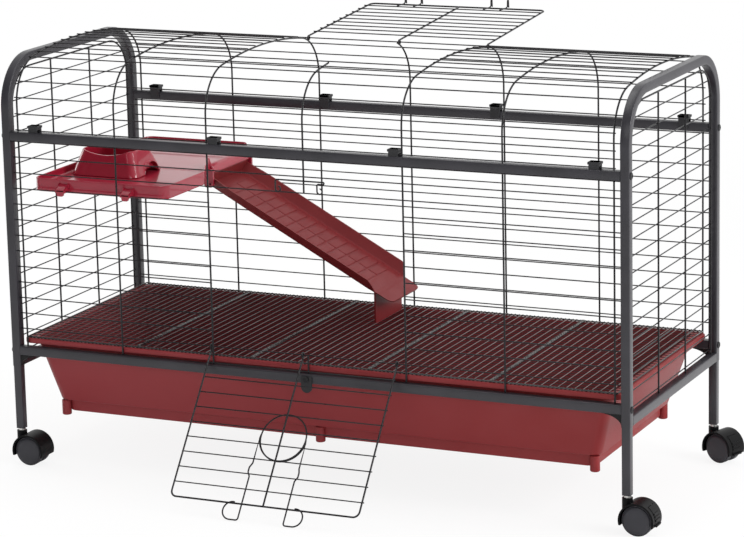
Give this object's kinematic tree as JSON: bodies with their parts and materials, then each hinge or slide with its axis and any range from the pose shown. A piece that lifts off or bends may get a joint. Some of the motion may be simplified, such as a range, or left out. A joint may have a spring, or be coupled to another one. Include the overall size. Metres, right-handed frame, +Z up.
{
  "type": "rabbit cage",
  "caption": "Rabbit cage on casters: square-tube frame, wire sides and dome, front and top doors, slide-in litter tray under a mesh floor, shelf with ramp and dish.",
  "frame": {"origin": "on the floor, midway between the four posts of the tube frame", "axes": "+X along the length, from the shelf's end to the other end; +Y from the front door's side to the rear; +Z up"},
  "size_m": [1.1509, 0.8034, 0.729],
  "materials": {
    "tube_paint": "satin hammered charcoal paint",
    "wire_paint": "semi-gloss black coating on wire",
    "black_plastic": "matte moulded",
    "tray_plastic": "fine-grained dull moulded",
    "shelf_plastic": "glossy moulded",
    "caster_plastic": "satin moulded",
    "zinc_steel": "bright zinc plate"
  },
  "bodies": {
    "frame": {"left_hoop": "tube_paint", "right_hoop": "tube_paint", "left_end_rail": "tube_paint", "right_end_rail": "tube_paint", "front_lower_rail": "tube_paint", "rear_lower_rail": "tube_paint", "front_mid_rail": "tube_paint", "rear_mid_rail": "tube_paint", "leg_front_left": "tube_paint", "leg_front_right": "tube_paint", "leg_rear_left": "tube_paint", "leg_rear_right": "tube_paint", "corner_gussets": "black_plastic", "frame_screws": "wire_paint", "dome_clips": "black_plastic", "front_panel": "wire_paint", "rear_panel": "wire_paint", "left_end_panel": "wire_paint", "right_end_panel": "wire_paint", "dome_panel": "wire_paint", "latch_keeper": "wire_paint", "floor_mesh": "wire_paint", "tray": "tray_plastic", "tray_lock_screw": "tube_paint", "shelf": "shelf_plastic", "caster_stems": "zinc_steel"},
    "front_door": {"front_door": "wire_paint"},
    "front_latch": {"front_door_latch": "wire_paint"},
    "top_door": {"top_door": "wire_paint", "top_door_hooks": "wire_paint"},
    "tray_lock": {"tray_lock": "tube_paint"},
    "ramp": {"ramp": "shelf_plastic"},
    "dish": {"dish": "shelf_plastic"},
    "front_left_swivel": {"front_left_hood": "caster_plastic"},
    "front_left_wheels": {"front_left_wheels": "caster_plastic"},
    "front_right_swivel": {"front_right_hood": "caster_plastic"},
    "front_right_wheels": {"front_right_wheels": "caster_plastic"},
    "front_right_brake": {"front_right_brake": "caster_plastic"},
    "rear_left_swivel": {"rear_left_hood": "caster_plastic"},
    "rear_left_wheels": {"rear_left_wheels": "caster_plastic"},
    "rear_right_swivel": {"rear_right_hood": "caster_plastic"},
    "rear_right_wheels": {"rear_right_wheels": "caster_plastic"},
    "rear_right_brake": {"rear_right_brake": "caster_plastic"}
  },
  "joints": [
    {"name": "front_door_hinge", "type": "hinge", "parent": "frame", "child": "front_door", "pos_m": [-0.0105, -0.2095, 0.2345], "axis": [-1, 0, 0], "range_deg": [0, 141.6]},
    {"name": "front_latch_slide", "type": "slide", "parent": "front_door", "child": "front_latch", "axis": [0, 0.6129, 0.7902], "range_m": [0, 0.015]},
    {"name": "top_door_hinge", "type": "hinge", "parent": "frame", "child": "top_door", "pos_m": [0, 0.16129, 0.68818], "axis": [1, 0, 0], "range_deg": [0, 172]},
    {"name": "tray_lock_turn", "type": "hinge", "parent": "frame", "child": "tray_lock", "pos_m": [0, -0.219, 0.1975], "axis": [0, 1, 0], "range_deg": [-90, 90]},
    {"name": "ramp_hinge", "type": "hinge", "parent": "frame", "child": "ramp", "pos_m": [-0.30192, 0.117, 0.44716], "axis": [0, -1, 0], "range_deg": [0, 28]},
    {"name": "dish_lift", "type": "slide", "parent": "frame", "child": "dish", "axis": [0, 0, 1], "range_m": [0, 0.03]},
    {"name": "front_left_swivel", "type": "hinge", "parent": "frame", "child": "front_left_swivel", "pos_m": [-0.5425, -0.2115, 0.061], "axis": [0, 0, 1], "continuous": true},
    {"name": "front_left_roll", "type": "hinge", "parent": "front_left_swivel", "child": "front_left_wheels", "pos_m": [-0.5225, -0.2115, 0.025], "axis": [0, 1, 0], "continuous": true},
    {"name": "front_right_swivel", "type": "hinge", "parent": "frame", "child": "front_right_swivel", "pos_m": [0.5425, -0.2115, 0.061], "axis": [0, 0, 1], "continuous": true},
    {"name": "front_right_roll", "type": "hinge", "parent": "front_right_swivel", "child": "front_right_wheels", "pos_m": [0.5625, -0.2115, 0.025], "axis": [0, 1, 0], "continuous": true},
    {"name": "front_right_brake", "type": "hinge", "parent": "front_right_swivel", "child": "front_right_brake", "pos_m": [0.5816, -0.2115, 0.04548], "axis": [0, 1, 0], "range_deg": [0, 2]},
    {"name": "rear_left_swivel", "type": "hinge", "parent": "frame", "child": "rear_left_swivel", "pos_m": [-0.5425, 0.2115, 0.061], "axis": [0, 0, 1], "continuous": true},
    {"name": "rear_left_roll", "type": "hinge", "parent": "rear_left_swivel", "child": "rear_left_wheels", "pos_m": [-0.52294, 0.21566, 0.025], "axis": [-0.2079, 0.9781, 0], "continuous": true},
    {"name": "rear_right_swivel", "type": "hinge", "parent": "frame", "child": "rear_right_swivel", "pos_m": [0.5425, 0.2115, 0.061], "axis": [0, 0, 1], "continuous": true},
    {"name": "rear_right_roll", "type": "hinge", "parent": "rear_right_swivel", "child": "rear_right_wheels", "pos_m": [0.56129, 0.20466, 0.025], "axis": [0.342, 0.9397, 0], "continuous": true},
    {"name": "rear_right_brake", "type": "hinge", "parent": "rear_right_swivel", "child": "rear_right_brake", "pos_m": [0.57924, 0.19813, 0.04548], "axis": [0.342, 0.9397, 0], "range_deg": [0, 2]}
  ]
}
